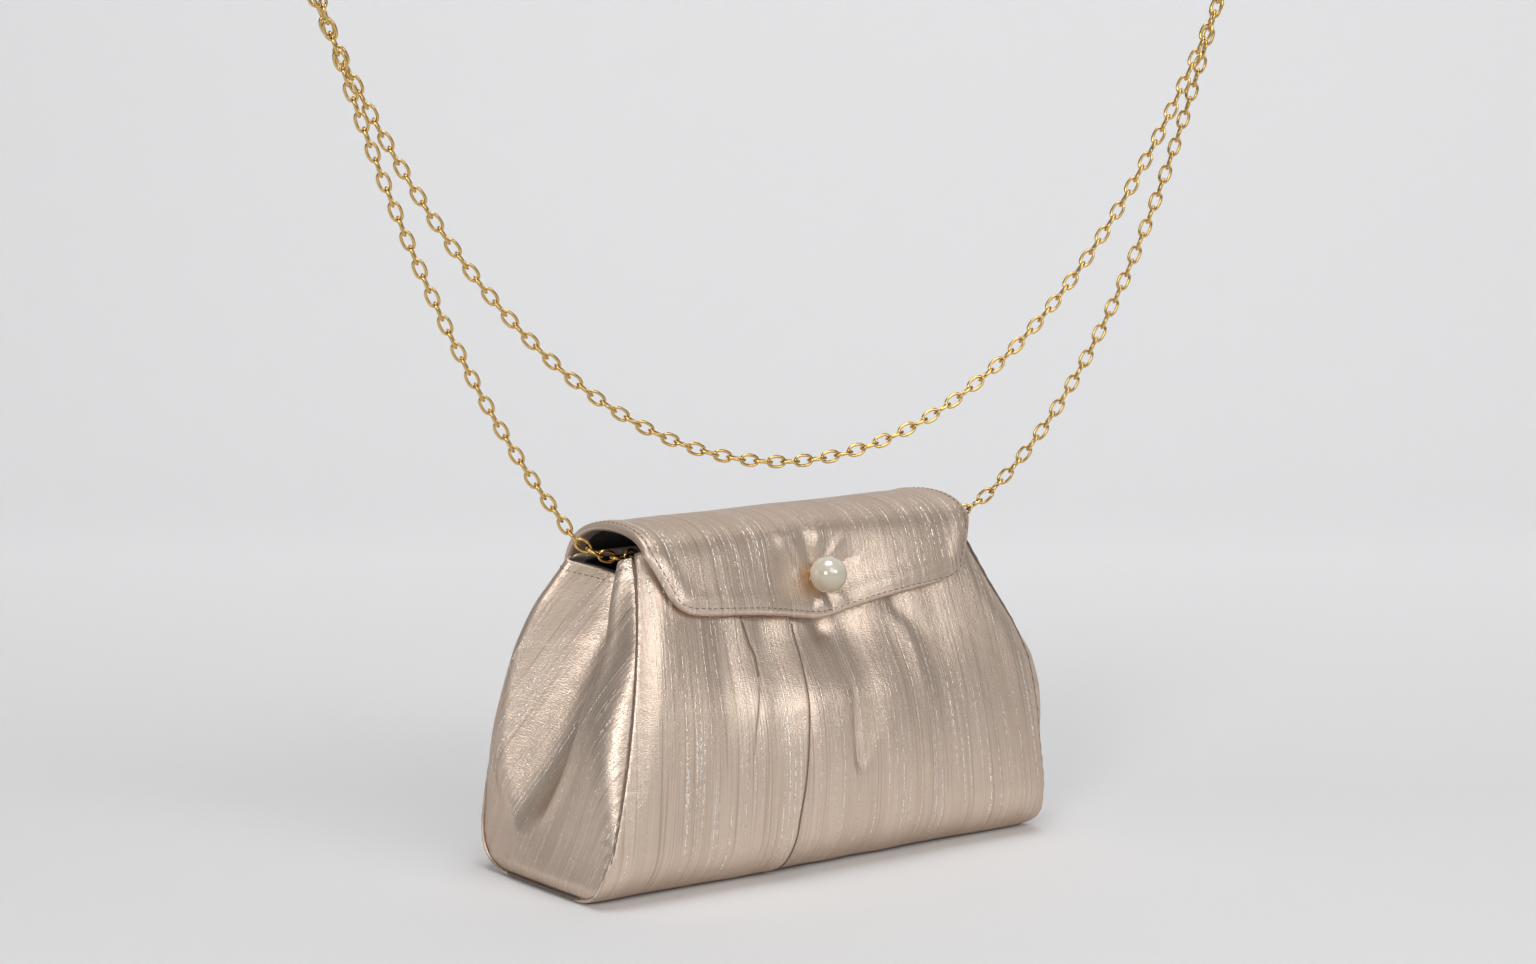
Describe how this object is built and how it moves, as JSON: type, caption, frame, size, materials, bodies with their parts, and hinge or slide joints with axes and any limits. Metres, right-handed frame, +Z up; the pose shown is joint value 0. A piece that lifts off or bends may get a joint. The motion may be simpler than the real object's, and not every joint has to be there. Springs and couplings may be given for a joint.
{
  "type": "chain shoulder bag",
  "caption": "Soft evening shoulder bag: trapezoid cloth body with folded gussets, a fold-over flap with a pearl closure, and a long metal chain strap hung in a loop.",
  "frame": {"origin": "middle of the base, on the surface that the bag stands on", "axes": "+Z up, -Y the front with the flap's lip and pearl, +X to the right as seen from the front"},
  "size_m": [0.3969, 0.1115, 0.356],
  "materials": {
    "silk": "slubbed metallic silk with a soft sheen",
    "lining": "plain black satin",
    "board": "plain stiffener board",
    "pearl": "pearlescent coating",
    "gold": "polished, light gold",
    "steel": "plain plated"
  },
  "bodies": {
    "bag": {"front_panel": "silk", "back_panel": "silk", "base_panel": "silk", "base_board": "board", "base_lining": "lining", "front_lining": "lining", "back_lining": "lining", "inner_pocket": "lining", "left_gusset": "silk", "right_gusset": "silk", "left_gusset_lining": "lining", "right_gusset_lining": "lining", "front_magnet": "steel", "magnet_washer": "steel", "flap_seam_strip": "silk", "left_strap_tab": "silk", "right_strap_tab": "silk", "left_end_ring": "gold", "right_end_ring": "gold", "left_chain_strand": "gold", "right_chain_strand": "gold", "chain_loop_left": "gold", "chain_loop_right": "gold"},
    "flap": {"flap_cloth": "silk", "flap_board": "board", "flap_lining": "silk", "pearl": "pearl", "pearl_cup": "gold", "pearl_post": "gold", "flap_magnet": "steel"},
    "left_ring": {"left_d_ring": "gold"},
    "right_ring": {"right_d_ring": "gold"}
  },
  "joints": [
    {"name": "flap_hinge", "type": "hinge", "parent": "bag", "child": "flap", "pos_m": [0, 0.028, 0.1124], "axis": [-1, 0, 0], "range_deg": [0, 140]},
    {"name": "left_d_ring_swing", "type": "hinge", "parent": "bag", "child": "left_ring", "pos_m": [-0.06059, -0.00348, 0.1245], "axis": [0, 1, 0], "range_deg": [-7, 7]},
    {"name": "right_d_ring_swing", "type": "hinge", "parent": "bag", "child": "right_ring", "pos_m": [0.06059, -0.00348, 0.1245], "axis": [0, -1, 0], "range_deg": [-7, 7]}
  ]
}
